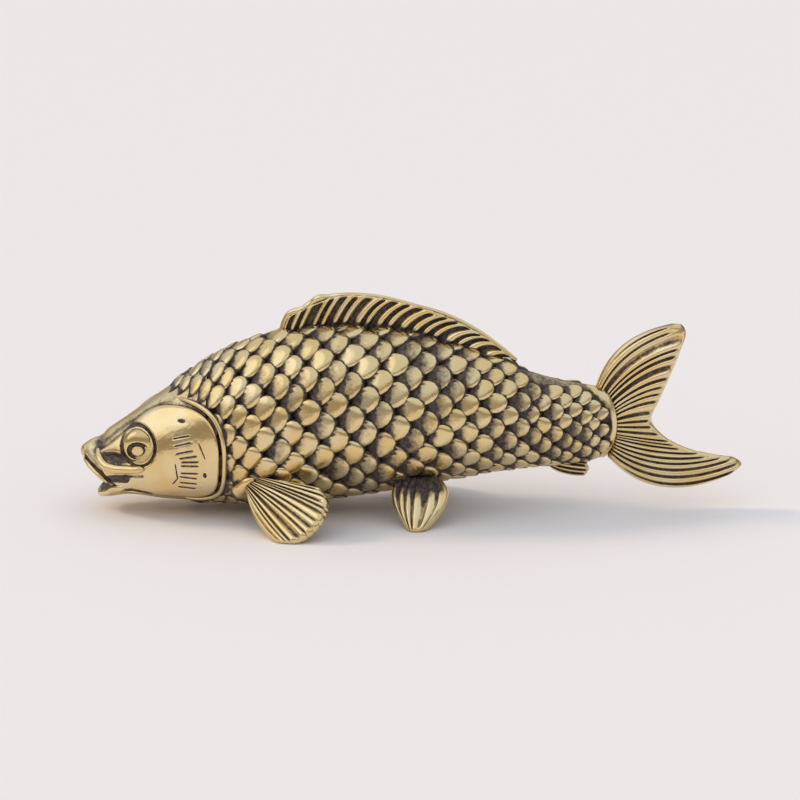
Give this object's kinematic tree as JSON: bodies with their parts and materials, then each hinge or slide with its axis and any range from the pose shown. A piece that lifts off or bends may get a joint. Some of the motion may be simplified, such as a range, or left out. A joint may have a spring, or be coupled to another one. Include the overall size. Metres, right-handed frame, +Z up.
{
  "type": "fish figurine",
  "caption": "Small cast brass carp ornament that stands on its paired fins, with scaled flanks, a ribbed dorsal fin and a forked tail.",
  "frame": {"origin": "on the floor under the middle of the figure, halfway from the snout to the tip of the tail", "axes": "+X from the snout to the tail, +Y to the fish's right side, +Z up"},
  "size_m": [0.0616, 0.0248, 0.0207],
  "materials": {
    "body": "polished scales with dark brown patina between them",
    "head": "polished plates with dark brown patina in the chased lines",
    "fins": "polished rays and edges with dark brown patina in the grooves",
    "trim": "bright polished brass"
  },
  "bodies": {
    "root": {"trunk": "body", "head": "head", "dorsal_fin": "fins", "tail_fin": "fins", "anal_fin": "fins", "gill_cover_left": "head", "gill_cover_right": "head", "gill_rim_left": "trim", "gill_rim_right": "trim", "eye_left": "trim", "eye_right": "trim", "barbel_left": "trim", "barbel_right": "trim", "pectoral_fin_left": "fins", "pectoral_fin_right": "fins", "pelvic_fin_left": "fins", "pelvic_fin_right": "fins"}
  },
  "joints": []
}
